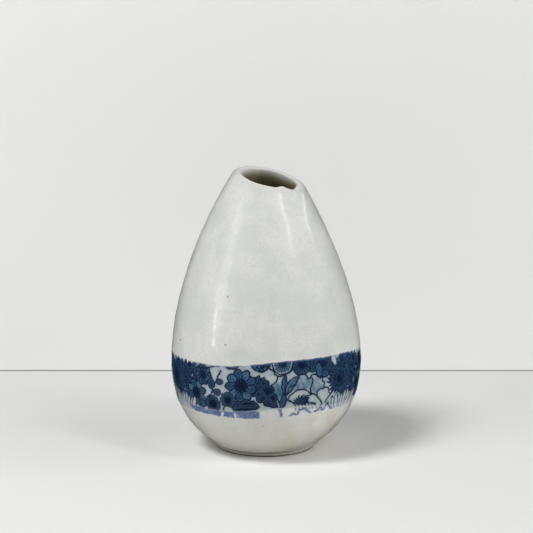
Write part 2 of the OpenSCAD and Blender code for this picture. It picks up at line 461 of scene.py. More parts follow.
def lathe_piece(name, points, closed_section=False):
    """A closed solid from a full grid of section rows; its first and last rows end in one point."""
    rows, columns = points.shape[:2]
    flat = points.reshape(-1, 3)
    faces = quads(rows, columns, True)
    first = list(range(columns))
    last = [(rows - 1) * columns + c for c in range(columns)]
    if closed_section:
        faces += [[a, b, d, c] for (a, b), (c, d) in zip(ring_pairs(last), ring_pairs(first))]
        return make_piece(name, flat, faces)
    count = len(flat)
    flat = np.concatenate((flat, [points[0].mean(0), points[-1].mean(0)]))
    faces += [[b, a, count] for a, b in ring_pairs(first)]
    faces += [[a, b, count + 1] for a, b in ring_pairs(last)]
    return make_piece(name, flat, faces)


# ---- The printed drawing, in millimetres along and up the strip ----
REPEAT = 84.7
NOWHERE = 3.0


class Drawing:
    """Ink lines and washes at points x along and v up the strip; later motifs cover earlier ones.

    ink is the distance outside the nearest line's edge, and wash is the tone between the lines,
    from 0 for bare ground to 1 for the darkest blue.
    """

    def __init__(self, x, v):
        self.x = x + 0.12 * np.sin(v * 1.9 + 0.3 * x) + 0.05 * np.sin(v * 5.1 - x)
        self.v = v + 0.12 * np.sin(x * 1.7 + 0.4 * v) + 0.05 * np.sin(x * 4.7 + v)
        self.ink = np.full(x.shape, NOWHERE)
        self.wash = 0.14 + 0.07 * np.sin(x * 0.9 + v * 0.3) * np.sin(v * 0.8)

    def near(self, x, v, size, turn=0.0):
        """Mask of the points within size of a place, and their own coordinates there."""
        dx = (self.x - x + REPEAT / 2) % REPEAT - REPEAT / 2
        dv = self.v - v
        mask = (np.abs(dx) < size) & (np.abs(dv) < size)
        dx, dv = dx[mask], dv[mask]
        c, s = math.cos(turn), math.sin(turn)
        return mask, c * dx + s * dv, c * dv - s * dx

    def line(self, mask, gap):
        """Ink wherever gap, the distance outside a line's edge, is below zero."""
        self.ink[mask] = np.minimum(self.ink[mask], gap)

    def cover(self, mask, gap, wash, edge):
        """A shape with an outline: it hides what lies under it where gap is below zero."""
        inside = gap < 0
        self.ink[mask] = np.where(inside, NOWHERE, self.ink[mask])
        self.wash[mask] = np.where(inside, wash, self.wash[mask])
        self.line(mask, np.abs(gap) - edge / 2)

    def stroke(self, path, width=0.5, taper=0.0):
        """A brush line through the points of path; taper thins it towards its far end."""
        points = curve_through(path)
        middle = points.mean(0)
        size = np.abs(points - middle).max() + 1.5
        mask, dx, dv = self.near(middle[0], middle[1], size)
        gap = np.full(dx.shape, size)
        starts, ends = points[:-1] - middle, points[1:] - middle
        for n, (a, b) in enumerate(zip(starts, ends)):
            along = b - a
            t = np.clip(((dx - a[0]) * along[0] + (dv - a[1]) * along[1]) / (along @ along), 0, 1)
            part = np.hypot(dx - a[0] - t * along[0], dv - a[1] - t * along[1])
            gap = np.minimum(gap, part - width / 2 * (1 - taper * n / len(starts)))
        self.line(mask, gap)

    def blob(self, x, v, wide, high, turn=0.0, wash=0.5, edge=0.45, scallops=0, bite=0.1):
        """An oval, or with scallops a round flower's outline."""
        mask, dx, dv = self.near(x, v, 1.3 * max(wide, high) + 1, turn)
        angle = np.arctan2(dv / high, dx / wide)
        edge_at = 1 + bite * np.abs(np.cos(scallops / 2 * angle)) if scallops else 1.0
        gap = (np.hypot(dx / wide, dv / high) - edge_at) * min(wide, high)
        self.cover(mask, gap, wash, edge)

    def leaf(self, start, end, width, wash=0.5, edge=0.45, teeth=0, bend=0.0):
        """A pointed leaf from start to end, toothed or bent to one side."""
        (x0, v0), (x1, v1) = start, end
        length = math.hypot(x1 - x0, v1 - v0)
        turn = math.atan2(v1 - v0, x1 - x0)
        mask, dx, dv = self.near((x0 + x1) / 2, (v0 + v1) / 2, length / 2 + abs(bend) + width, turn)
        t = np.clip(dx / length + 0.5, 0, 1)
        across = dv - bend * 4 * t * (1 - t)
        half = width / 2 * np.sin(math.pi * t) ** 0.75
        if teeth:
            half = half * (0.72 + 0.28 * np.abs(np.cos(math.pi * teeth * t)))
        beyond = np.maximum(np.abs(dx) - length / 2, 0)
        self.cover(mask, np.hypot(np.maximum(np.abs(across) - half, 0), beyond)
                   + np.minimum(np.abs(across) - half, 0), wash, edge)

    def flower(self, x, v, petals, petal, ring, turn=0.0, wash=0.55, heart=1.2, squash=1.0):
        """Round petals in a ring, with a dark starry heart."""
        for n in range(petals):
            a = turn + 2 * math.pi * n / petals
            place_x, place_v = x + ring * math.cos(a), v + ring * squash * math.sin(a)
            self.blob(place_x, place_v, 1.25 * petal, petal, math.atan2(squash * math.sin(a), math.cos(a)),
                      wash + 0.1 * math.cos(3.1 * n), 0.5)
            tip = (place_x - 0.3 * petal * math.cos(a), place_v - 0.3 * petal * math.sin(a))
            self.stroke(((x, v), tip), 0.4, 0.6)
        mask, dx, dv = self.near(x, v, ring + petal)
        angle, reach = np.arctan2(dv, dx), np.hypot(dx, dv)
        shade = 0.92 * smooth(1.1 * ring, 0.3 * ring, reach)
        self.wash[mask] = np.maximum(self.wash[mask], shade)
        self.line(mask, reach - heart * (1 + 0.35 * np.cos(petals * (angle - turn))))

    def burst(self, x, v, radius, rays, wash=0.94):
        """A chrysanthemum seen from above: a dark disc that breaks up into thin rays."""
        mask, dx, dv = self.near(x, v, 1.3 * radius)
        angle, reach = np.arctan2(dv, dx), np.hypot(dx, dv)
        wave = 0.5 + 0.5 * np.cos(rays * angle + 0.8 * np.sin(reach))
        tip = radius * (0.76 + 0.2 * wave + 0.06 * np.sin(5 * angle) + 0.04 * np.sin(8 * angle + 1))
        gap = reach - tip
        tone = wash - 0.3 * (1 - wave) ** 2 * smooth(0.4, 1, reach / radius)
        self.cover(mask, gap, tone, 0.28)
        self.line(mask, reach - 0.4 * radius * (1 + 0.12 * np.cos(rays * angle)))

    def rosette(self, x, v, radius, petals=9, wash=0.9):
        """A small dark round flower with a scalloped rim."""
        self.blob(x, v, radius, radius, 0.3, wash - 0.16, 0.4, petals, 0.12)
        self.blob(x, v, 0.72 * radius, 0.72 * radius, 0.5, wash, 0.3, petals, 0.1)

    def fan(self, x, v, radius, rays=13, wash=0.62, squash=1.0, margin=0.0):
        """A flower hanging over the edge: a disc cut by dark rays, with a pale margin."""
        self.blob(x, v, radius, radius * squash, 0, 0.12 if margin else wash, 0.55)
        radius = radius * (1 - margin)
        if margin:
            self.blob(x, v, radius, radius * squash, 0, wash, 0.3, rays, 0.12)
        mask, dx, dv = self.near(x, v, radius * 1.2)
        reach = np.hypot(dx, dv / squash) / radius
        angle = np.arctan2(dv, dx)
        comb = np.abs(np.sin(rays / 2 * angle)) * reach * radius * 2 / rays * 2.4
        gap = np.where((reach > 0.25) & (reach < 0.92), comb - 0.4, NOWHERE)
        self.line(mask, gap)
        self.line(mask, (reach - 0.24) * radius)


def curve_through(path):
    """Points along a smooth curve through a few given ones."""
    p = np.asarray(path, float)
    if len(p) < 3:
        return p
    p = np.concatenate((2 * p[:1] - p[1:2], p, 2 * p[-1:] - p[-2:-1]))
    t = np.linspace(0, 1, 6, endpoint=False)[:, None]
    parts = []
    for a, b, c, d in zip(p, p[1:], p[2:], p[3:]):
        parts.append(0.5 * (2 * b + (c - a) * t + (2 * a - 5 * b + 4 * c - d) * t**2
                            + (3 * b - a - 3 * c + d) * t**3))
    return np.concatenate(parts + [p[-2:-1]])


def draw_peony(art):
    """A large pale peony: wavy petals, a stamen cluster, two slender leaves and a calyx."""
    for x, v, wide, high, wash in ((4.5, 35.5, 4.6, 4.8, 0.6), (15, 37.4, 6.2, 4.2, 0.46),
                                   (22.5, 36, 3.6, 4.4, 0.4), (26, 30, 3.4, 3.8, 0.1),
                                   (14, 33, 5, 1.6, 0.02), (2.5, 39.6, 4, 2, 0.02)):
        mask, dx, dv = art.near(x, v, 8)
        weight = smooth(1.15, 0.6, np.hypot(dx / wide, dv / high))
        shade = 0.12 + (wash - 0.12) * (0.7 + 0.5 * np.sin(2.2 * dx + dv) * 0.3 - 0.08 * dv)
        art.wash[mask] += weight * (shade - art.wash[mask])
    petals = (
        ((1, 44.8), (3.3, 43.2), (3.6, 41.8), (4.8, 41), (4.5, 39), (2.6, 37.6), (2, 35.5),
         (2.2, 33.4), (3.6, 31.8), (4.3, 29.2), (6, 26.2)),
        ((4.8, 41), (7, 41.2), (8.6, 41.9), (10.6, 42.8), (11.6, 44.4)),
        ((11.6, 43.6), (12.8, 42.2), (14.3, 41), (17.2, 40.9), (18.1, 39.2), (20, 38.9),
         (20.5, 37.2), (19.7, 35.6), (19.7, 33.2), (20.4, 32)),
        ((19.4, 39.6), (20.4, 40.6), (22, 40.4), (23.2, 39.1), (25, 39), (25.3, 37.4),
         (26.5, 36.3), (25.9, 34.6), (27.6, 33.9), (29, 33.4)),
        ((26, 33.8), (24, 33.6), (22.8, 32.7), (22.7, 31.2)),
        ((9.2, 30.3), (10.3, 32.3), (12.6, 34.1), (15.2, 34.7), (17.7, 33.9), (19.6, 32.3)),
        ((16.6, 31), (18.2, 31.4), (20.3, 32), (22.8, 31), (24.5, 29), (26.2, 26.6)),
        ((9.2, 30.3), (11.2, 29.4), (12.8, 28.3)),
        ((16.4, 28.6), (18.6, 28.2), (20.6, 28.1), (22.4, 27), (23.4, 25.2)),
        ((29, 33.4), (29.2, 31.6), (30.2, 30.6), (29, 29), (27.6, 27.4)),
    )
    for path in petals:
        art.stroke(path, 0.56)
    art.blob(15.6, 29.5, 2.6, 1.4, 0.1, 0.8, 0.2, 11, 0.2)
    for n in range(34):
        a, reach = 2.4 * n, 0.6 * math.sqrt(n)
        art.stroke(((15.5 + reach * math.cos(a), 29.6 + 0.6 * reach * math.sin(a)),
                    (15.7 + 1.14 * reach * math.cos(a), 29.7 + 0.7 * reach * math.sin(a))), 0.6)
    art.leaf((8, 32.2), (8, 41.6), 2.2, 0.6, 0.55, bend=0.25)
    art.stroke(((7.9, 33), (8, 40.4)), 0.35)
    art.leaf((8.6, 32.4), (14, 40.6), 3.2, 0.52, 0.55, bend=0.9)
    art.stroke(((9, 33.2), (10.4, 36.8), (13, 39.6)), 0.35, 0.5)
    art.stroke(((10.4, 36), (12.2, 37)), 0.4)
    art.leaf((6.1, 25.8), (7.9, 33.6), 2.6, 0.7, 0.6, bend=-0.3)
    art.leaf((6, 25.8), (2.1, 33.6), 1.5, 0.3, 0.45, bend=-0.7)


def draw_blossoms(art):
    """A many-petalled flower among leaves, smaller ones round it, and a budding twig."""
    art.leaf((-3.6, 32.6), (-0.8, 40.8), 4.4, 0.92, 0.55, teeth=3)
    art.leaf((-8.4, 41), (4.4, 27.2), 9.6, 0.93, 0.6, teeth=5, bend=0.7)
    art.leaf((-6, 33), (-2.8, 41.4), 4, 0.95, 0.5, teeth=2)
    for path in (((-6, 39), (-2, 34.6), (4, 28)), ((-3.4, 36), (-0.8, 37)), ((-1.8, 33.4), (-3.2, 31.2)),
                 ((0.2, 32), (1.8, 32.8)), ((0.6, 31), (-0.6, 29.4))):
        art.stroke(path, 0.4, 0.5)
    art.leaf((-16, 27), (-2.8, 27.8), 8.4, 0.92, 0.55, teeth=6, bend=0.4)
    art.stroke(((-14.6, 27.4), (-4.6, 28)), 0.4, 0.6)
    art.flower(-10.8, 36.9, 9, 1.86, 4.5, 0.42, 0.67, 2.5, 1.08)
    art.rosette(-16.9, 30.2, 3.2, 9, 0.96)
    art.rosette(-24.6, 28, 3.5, 12, 1.0)
    art.flower(-33.6, 31.8, 8, 1.6, 3.8, 0.3, 0.64, 1.9, 1.1)
    art.rosette(-30.6, 27.4, 1.8, 7, 0.7)
    art.flower(-29.2, 40.4, 10, 1.4, 2.7, 0.1, 0.8, 1.9)
    for n in range(14):
        a = 2 * math.pi * n / 14
        art.stroke(((-29.2 + 2.2 * math.cos(a), 40.6 + 2 * math.sin(a)),
                    (-29.2 + 2.4 * math.cos(a), 40.6 + 2.2 * math.sin(a))), 0.4)
    art.stroke(((-20, 43), (-21.6, 39.4), (-23.4, 36), (-24.6, 33), (-26.2, 30.6)), 0.62)
    art.stroke(((-24.8, 33.2), (-22.8, 33), (-21.2, 32.2)), 0.45)
    art.leaf((-24.3, 34.4), (-24.9, 39.6), 3.4, 0.82, 0.5)
    art.blob(-24.9, 39.6, 0.55, 0.55, wash=0.95)
    art.blob(-20.4, 38.1, 1.4, 1.2, wash=0.82)
    art.blob(-21.9, 33.4, 1.7, 1.4, wash=0.78)
    art.blob(-17, 25.6, 2.5, 1.9, wash=0.12, edge=0.4)
    art.stroke(((-35, 45), (-33, 44.2), (-29.6, 43.2), (-27, 43.4), (-24, 44.4), (-20.4, 45)), 0.5)


def draw_chrysanthemums(art):
    """Dark bursts with small ovals and curls packed round them."""
    art.blob(41, 38.6, 11, 8.6, 0, 0.9, 0.5, 13, 0.08)
    for n in range(46):
        a, reach = 2.39996 * n, 1.6 * math.sqrt(n + 2)
        x, v = 43 + 0.8 * reach * math.cos(a), 38 + 0.95 * reach * math.sin(a)
        art.blob(x, v, 1.3, 0.55, a + 0.9, 0.7 - 0.5 * (n % 3 == 0), 0.4)
    art.burst(47, 43.8, 3.6, 15, 0.9)
    art.leaf((42, 36), (49, 42), 4, 0.96, 0.5, teeth=3)
    art.leaf((41, 42.6), (48.6, 38.6), 3, 0.92, 0.45, teeth=3)
    art.fan(26.4, 44.4, 4.7, 15, 0.88)
    art.blob(26.8, 40.2, 1.8, 1.6, 0.2, 0.7, 0.5)
    art.burst(35, 36.9, 7.4, 23, 0.98)
    art.burst(35.2, 36.7, 5, 17, 1.0)
    art.leaf((33, 44.4), (41, 45.8), 3, 0.66, 0.5, bend=0.3)
    art.rosette(37, 45.3, 1.1, 6, 0.94)
    art.leaf((30.8, 48), (33.2, 42.8), 2.6, 0.02, 0.1)


def draw_top_edge(art):
    """Flowers that hang over the strip's cut edge."""
    art.fan(-14.8, 46.8, 3.6, 11, 0.8, 0.8)
    art.fan(-2.2, 47, 4, 11, 0.72)
    art.flower(-1.4, 45.6, 6, 0.8, 1.4, 0.2, 0.6, 0.7)
    art.fan(7, 46.2, 4.4, 15, 0.5, 1.02, 0.28)
    art.blob(20.6, 44.8, 3.6, 3.2, 0, 0.86, 0.5)
    art.fan(15.4, 45, 4.1, 17, 0.86, 1.0)
    art.stroke(((17.6, 44.6), (20, 43), (22, 43.6), (23, 46)), 0.5)
    art.blob(23.6, 42.2, 1.6, 3.4, 0.15, 0.68, 0.5)


def draw_grass(art):
    """Pale blades that rise from the lower edge, with dark lines between them."""
    art.blob(40.6, 25.6, 8.4, 4.4, 0, 0.5, 0.2)
    for n in range(9):
        tip = 31.4 + 2.3 * n
        root = 35 + 1.3 * n
        top = 30.4 + 0.9 * math.sin(1.7 * n) - 0.06 * (n - 4) ** 2
        art.leaf((root, 21.6), (tip, top), 2.7, 0.03, 0.36, bend=0.3 * math.sin(2.3 * n))


def draw_lower_edge(art):
    """Stems and squiggles that run on past the fold line."""
    art.stroke(((6, 26.4), (6.6, 24.4), (7.2, 22.6)), 0.75)
    art.stroke(((11, 22.9), (12.4, 23.9), (14, 23.2), (15, 25), (17.4, 25.9), (19, 24.6), (21.4, 23)), 0.7)
    art.stroke(((22.8, 23.6), (24.4, 24.2), (25.4, 26.2), (26.4, 24.2), (27.6, 24), (28.8, 26.2)), 0.7)
    art.stroke(((29.4, 26.8), (30.4, 25), (31.8, 23.8)), 0.7)
    for n in range(7):
        x = 12.8 + 1.6 * n
        art.stroke(((x, 27.9), (x + 0.5, 25.6)), 0.4, 0.5)


def strip_fields(side, height):
    """Point fields of the print.

    ink and wash come from the drawing; print is 1 within the strip's uneven edges, below is 1
    under the fold line, solid is the violet ground there, and bleed is the violet upper edge.
    """
    degrees = np.degrees(turned(side, 0))
    x = BODY_R * np.radians(degrees)
    ride = 1.2 * (np.cos(side - BAND_SIDE) - 1)
    art = Drawing(x, height - ride)
    for draw in (draw_chrysanthemums, draw_peony, draw_blossoms, draw_top_edge, draw_grass, draw_lower_edge):
        draw(art)
    ragged = 0.14 * np.sin(x * 0.9) + 0.08 * np.sin(x * 2.3 + 1) + 0.04 * np.sin(x * 4.7)
    cut = 44.1 + 3.1 * smooth(-32, 18, degrees) - 2.7 * smooth(50, 110, degrees) + 0.5 * ragged
    lace = 0.5 + 0.3 * np.sin(1.9 * x) + 0.2 * np.sin(4.3 * x)
    cut = cut - 1.5 * lace**2 * (smooth(-33, -37, x) + smooth(40, 46, x))
    fold = 24.2 + 2.3 * smooth(-30, 20, degrees) - 1.4 * smooth(20, 45, degrees) + 0.4 * ragged
    foot = 21.6 + 1.7 * smooth(-20, 40, degrees) - 1.2 * smooth(60, 140, degrees) + ragged
    printed = smooth(0.35, -0.25, height - cut) * smooth(-0.6, 0.5, height - foot)
    below = smooth(0.5, -0.4, height - fold)
    dark = np.maximum(smooth(0.4, 0.7, art.wash), smooth(0.5, 0, art.ink))
    lilac_edge = smooth(-1.3, 0.1, height - cut) * smooth(1.1, 0.1, height - cut)
    stems = Drawing(x, height - ride)
    stems.stroke(((-21.2, 21), (-20.6, 23), (-19.2, 25)), 0.7)
    stems.stroke(((-13.4, 21), (-14, 23), (-14.6, 25)), 0.4)
    solid = smooth(-39, -35, x + 2 * (height - foot)) * smooth(-2, -3.6, x) * smooth(0, 0.4, stems.ink)
    crease = smooth(0.35, 0.1, np.abs(height - fold - 0.3)) * smooth(-24, 0, x) * smooth(34, 20, x)
    return {"ink": art.ink + crease, "wash": art.wash * (1 - 0.8 * crease), "print": printed,
            "below": below, "bleed": lilac_edge * dark, "solid": below * solid}


# ---- Materials ---------------------------------------------------
def srgb(red, green, blue):
    """Linear colour from the 0 to 255 values a screen shows."""
    shown = (red / 255, green / 255, blue / 255)
    return [c / 12.92 if c <= 0.04045 else ((c + 0.055) / 1.055) ** 2.4 for c in shown] + [1.0]


def add_node(tree, kind, inputs=None, **settings):
    """A shader node; an input is a value or another node's output."""
    made = tree.nodes.new("ShaderNode" + kind)
    for key, value in settings.items():
        setattr(made, key, value)
    for key, value in (inputs or {}).items():
        if isinstance(value, bpy.types.NodeSocket):
            tree.links.new(value, made.inputs[key])
        else:
            made.inputs[key].default_value = value
    return made


def maths(tree, operation, a, b=0.0, c=0.0):
    """The outcome of one operation on values or node outputs."""
    return add_node(tree, "Math", {0: a, 1: b, 2: c}, operation=operation).outputs[0]


def times(tree, a, b):
    """The product of two values."""
    return maths(tree, "MULTIPLY", a, b)


def nudge(tree, value, wander, amount):
    """Value moved up and down by a noise that wanders about one half."""
    return maths(tree, "MULTIPLY_ADD", maths(tree, "SUBTRACT", wander, 0.5), amount, value)


def blend(tree, factor, a, b):
    """Colour a turning into colour b."""
    return add_node(tree, "Mix", {0: factor, 6: a, 7: b}, data_type="RGBA").outputs[2]


def tint(tree, colour, amount, strength, shown):
    """Colour turning into the shown one by amount times strength."""
    return blend(tree, times(tree, amount, strength), colour, srgb(*shown))


def remap(tree, value, low, high, to_low=0.0, to_high=1.0):
    """to_low below low, to_high beyond high, with an even S between."""
    inputs = {0: value, 1: low, 2: high, 3: to_low, 4: to_high}
    return add_node(tree, "MapRange", inputs, interpolation_type="SMOOTHSTEP").outputs[0]


def place_node(tree):
    """Position in millimetres, which stays with the object."""
    coordinate = add_node(tree, "TexCoord").outputs["Object"]
    return add_node(tree, "VectorMath", {0: coordinate, 3: 1 / MM}, operation="SCALE").outputs[0]


def noise(tree, place, scale, detail=2.0, rough=0.5, stretch=(1, 1, 1), shift=0.0):
    """Noise of about 1 / scale millimetres, stretched along the axes."""
    moved = add_node(tree, "Mapping", {0: place, 1: (shift, shift, shift), 3: stretch}).outputs[0]
    inputs = {"Vector": moved, "Scale": scale, "Detail": detail, "Roughness": rough}
    return add_node(tree, "TexNoise", inputs).outputs[0]


def field(tree, name):
    """A point field of the piece that wears the material."""
    return add_node(tree, "Attribute", attribute_name=name, attribute_type="GEOMETRY").outputs["Fac"]


def around(side_degrees, height):
    """A place on the wall, for a mark that the kiln left there."""
    return spun(np.interp(height, RISE, RADIUS), height, math.radians(side_degrees)).tolist()


def spot(tree, place, centre, radius, edge, wobble):
    """1 within a wobbly radius of a place, falling to 0 over edge."""
    gap = add_node(tree, "VectorMath", {0: place, 1: centre}, operation="DISTANCE").outputs["Value"]
    gap = maths(tree, "MULTIPLY_ADD", wobble, edge * 2, gap)
    return remap(tree, gap, radius, radius + edge, 1.0, 0.0)


def glaze_ground(tree, place):
    """The bare glaze's colour, with its grain and cloud noises, shared by every glazed piece."""
    split = add_node(tree, "SeparateXYZ", {0: place})
    east, height = split.outputs[0], split.outputs[2]
    cloud = noise(tree, place, 0.07, 3, 0.55)
    grain = noise(tree, place, 0.9, 3, 0.6)
    drift = noise(tree, place, 0.16, 2, 0.5, (1, 1, 0.35), 31)
    colour = blend(tree, remap(tree, cloud, 0.4, 0.62), srgb(220, 222, 217), srgb(229, 230, 227))
    colour = blend(tree, remap(tree, drift, 0.5, 0.7, 0, 0.4), colour, srgb(212, 215, 209))
    colour = blend(tree, remap(tree, grain, 0.44, 0.7, 0, 0.5), colour, srgb(212, 213, 206))
    # Warmer and a little darker towards the foot: a warmer glaze tone, with some painted shade on the lower
    # belly.
    low = remap(tree, height, 25, 8)
    colour = tint(tree, colour, low, 0.4, (218, 214, 196))
    blush = noise(tree, place, 0.085, 2, 0.5, (1, 1, 0.7), 11)
    warm = times(tree, remap(tree, blush, 0.46, 0.62), remap(tree, height, 27, 17))
    warm = times(tree, warm, remap(tree, east, -6, 20, 0.1, 1.0))
    colour = tint(tree, colour, warm, 0.5, (204, 190, 172))
    rings = noise(tree, place, 1.0, 3, 0.6, (0.05, 0.05, 1.3), 13)
    colour = blend(tree, remap(tree, rings, 0.48, 0.72, 0, 0.22), colour, srgb(209, 211, 204))
    return colour, grain, cloud


def kiln_marks(tree, place, colour):
    """Brown iron specks, pinholes and pale patches in the glaze; the pale patches are milky glaze, and those
    on the front also stand in for soft highlights, painted.
    """
    wobble = noise(tree, place, 1.6, 2, 0.6, shift=5)
    specks = ((-25.4, 73, 0.75), (-24.2, 53.3, 0.7), (-63.6, 51.3, 0.9), (-69, 53.6, 0.6),
              (-1.4, 18.1, 0.4), (14, 66, 0.2), (128, 78, 0.4), (165, 60, 0.3), (205, 88, 0.35),
              (241, 30, 0.3), (100, 33, 0.24), (58, 99, 0.24), (-48, 96, 0.2), (187, 16, 0.4))
    dark = 0.0
    for side, height, radius in specks:
        mark = spot(tree, place, around(side, height), radius, 0.55, wobble)
        dark = maths(tree, "MAXIMUM", dark, mark)
    colour = tint(tree, colour, dark, 0.8, (150, 122, 78))
    cells = add_node(tree, "TexVoronoi", {"Vector": place, "Scale": 0.2, "Randomness": 1.0})
    random_cell = add_node(tree, "SeparateColor", {0: cells.outputs["Color"]})
    chosen = maths(tree, "GREATER_THAN", random_cell.outputs[0], 0.72)
    hole = times(tree, remap(tree, cells.outputs["Distance"], 0.025, 0.07, 1, 0), chosen)
    colour = tint(tree, colour, hole, 0.3, (168, 158, 132))
    # Pale patches: milky glaze, and the ones on the front also stand in for soft highlights, painted.
    patches = ((39.9, 73, 2.5), (32.6, 87, 2), (30, 66, 2.5), (10, 80, 2.5), (-40, 62, 3),
               (150, 90, 4), (260, 70, 4))
    for side, height, radius in patches:
        milky_glaze_and_highlight = spot(tree, place, around(side, height), radius, 5, wobble)
        colour = tint(tree, colour, milky_glaze_and_highlight, 0.28, (236, 237, 234))
    return colour, hole


def surface(tree, inputs):
    """A Principled shader joined to the material's output."""
    shader = add_node(tree, "BsdfPrincipled", inputs)
    add_node(tree, "OutputMaterial", {"Surface": shader.outputs[0]})


def glossy(tree, colour, cloud, roughest, relief, strength, coat):
    """The surface of fired glaze, with its clear coat."""
    rough = remap(tree, cloud, 0.35, 0.65, 0.3, roughest)
    bump = add_node(tree, "Bump", {"Height": relief, "Strength": strength, "Distance": SKIN_DEPTH * MM})
    surface(tree, {
        "Base Color": colour, "Roughness": rough, "Normal": bump.outputs[0], "IOR": 1.5,
        "Specular IOR Level": 0.3, "Coat Weight": coat, "Coat Roughness": 0.1})


def new_material(name):
    """An empty material and its node tree."""
    material = bpy.data.materials.new(name)
    material.use_nodes = True
    material.node_tree.nodes.clear()
    return material, material.node_tree


def surface_relief(tree, place, grain, hole):
    """Height of the glaze's fine skin: orange peel crossed by throwing lines, with pinholes."""
    peel = noise(tree, place, 0.42, 2, 0.5, (1, 1, 1), 17)
    lines = noise(tree, place, 0.9, 2, 0.6, (0.14, 0.14, 1.5), 23)
    tall = maths(tree, "MULTIPLY_ADD", grain, 0.22, maths(tree, "MULTIPLY_ADD", lines, 0.18, peel))
    return maths(tree, "MULTIPLY_ADD", hole, -0.5, tall)


def glaze_material():
    """The glaze outside: pale where it thins at its lower edge, with a painted highlight along the lip's
    crest; milky in its runs, whitened further as a painted highlight there; with one faint blue smear.
    """
    material, tree = new_material("pale_glaze")
    place = place_node(tree)
    colour, grain, cloud = glaze_ground(tree, place)
    colour, hole = kiln_marks(tree, place, colour)
    # Paler where the glaze thins at its lower edge, and whitened along the lip's crest as a painted
    # highlight.
    colour = tint(tree, colour, field(tree, "thin_glaze_and_lip_highlight"), 0.9, (250, 249, 241))
    # Milky in the runs, and whitened further there as a painted highlight.
    colour = tint(tree, colour, field(tree, "thick_glaze_and_run_highlight"), 0.85, (246, 247, 244))
    streak = noise(tree, place, 0.5, 2, 0.5, (1, 1, 0.25), 3)
    faint = spot(tree, place, around(-26.5, 15.5), 2.2, 3.6, streak)
    faint = times(tree, faint, remap(tree, streak, 0.4, 0.6))
    colour = tint(tree, colour, faint, 0.4, (160, 176, 196))
    glossy(tree, colour, cloud, 0.42, surface_relief(tree, place, grain, hole), 0.45, 0.6)
    return material


def inside_material():
    """The same glaze inside, turning to a darker, warmer olive down in the mouth as painted shade."""
    material, tree = new_material("inside_glaze")
    place = place_node(tree)
    colour, grain, cloud = glaze_ground(tree, place)
    # Painted shade down in the mouth: from the crest inward the glaze turns to a darker, warmer olive,
    # mottled between two tones.
    deep = remap(tree, field(tree, "deep"), 0.0, 1.0)
    pooled = noise(tree, place, 0.12, 3, 0.6, (1, 1, 0.5), 9)
    painted_inside_shade = blend(tree, remap(tree, pooled, 0.4, 0.62), srgb(184, 177, 146), srgb(162, 155, 126))
    colour = blend(tree, deep, colour, painted_inside_shade)
    glossy(tree, colour, cloud, 0.42, surface_relief(tree, place, grain, 0.0), 0.5, 0.25)
    return material


def print_material():
    """Cobalt lines and washes under the glaze, blurred and pooled by the firing."""
    material, tree = new_material("printed_glaze")
    place = place_node(tree)
    ground, grain, cloud = glaze_ground(tree, place)
    ground, hole = kiln_marks(tree, place, ground)
    fibre = noise(tree, place, 1.5, 3, 0.65, (1, 1, 1), 23)
    pool = noise(tree, place, 0.35, 3, 0.6, (1, 1, 1), 41)
    wash = nudge(tree, field(tree, "wash"), fibre, 0.22)
    wash = nudge(tree, wash, pool, 0.34)
    tones = add_node(tree, "ValToRGB", {0: wash})
    ramp = tones.color_ramp
    stops = ((0.0, (190, 197, 195)), (0.16, (172, 185, 191)), (0.42, (94, 126, 149)),
             (0.66, (36, 79, 114)), (0.9, (10, 39, 74)), (1.0, (5, 25, 54)))
    while len(ramp.elements) < len(stops):
        ramp.elements.new(0.5)
    for element, (at, shown) in zip(ramp.elements, stops):
        element.position = at
        element.color = srgb(*shown)
    below, printed = field(tree, "below"), field(tree, "print")
    rub = noise(tree, place, 0.8, 2, 0.6, (1, 1, 1), 53)
    violet = blend(tree, remap(tree, rub, 0.35, 0.65), srgb(84, 104, 152), srgb(116, 134, 178))
    solid = times(tree, field(tree, "solid"), remap(tree, pool, 0.3, 0.5, 0.65, 1.0))
    paper = blend(tree, below, tones.outputs[0], blend(tree, solid, ground, violet))
    line_at = nudge(tree, field(tree, "ink"), rub, 0.3)
    line = remap(tree, line_at, -0.14, 0.2, 1.0, 0.0)
    halo = remap(tree, line_at, 0.0, 0.85, 0.42, 0.0)
    deep = blend(tree, remap(tree, fibre, 0.4, 0.7), srgb(7, 24, 54), srgb(16, 41, 81))
    cobalt = blend(tree, below, deep, violet)
    paper = blend(tree, halo, paper, blend(tree, below, srgb(84, 118, 146), violet))
    paper = blend(tree, line, paper, cobalt)
    missed = remap(tree, noise(tree, place, 1.9, 2, 0.5, (1, 1, 1), 77), 0.62, 0.72, 0.0, 0.4)
    paper = tint(tree, paper, missed, below, (150, 170, 188))
    edge = nudge(tree, field(tree, "bleed"), fibre, 0.5)
    paper = blend(tree, remap(tree, edge, 0.25, 1.0, 0.0, 0.7), paper, violet)
    pooled = times(tree, remap(tree, printed, 0.95, 0.5), times(tree, solid, below))
    paper = tint(tree, paper, pooled, 0.7, (62, 82, 150))
    ragged = nudge(tree, printed, fibre, 1.1)
    colour = blend(tree, remap(tree, ragged, 0.2, 0.8), ground, paper)
    glossy(tree, colour, cloud, 0.4, surface_relief(tree, place, grain, hole), 0.45, 0.5)
    return material


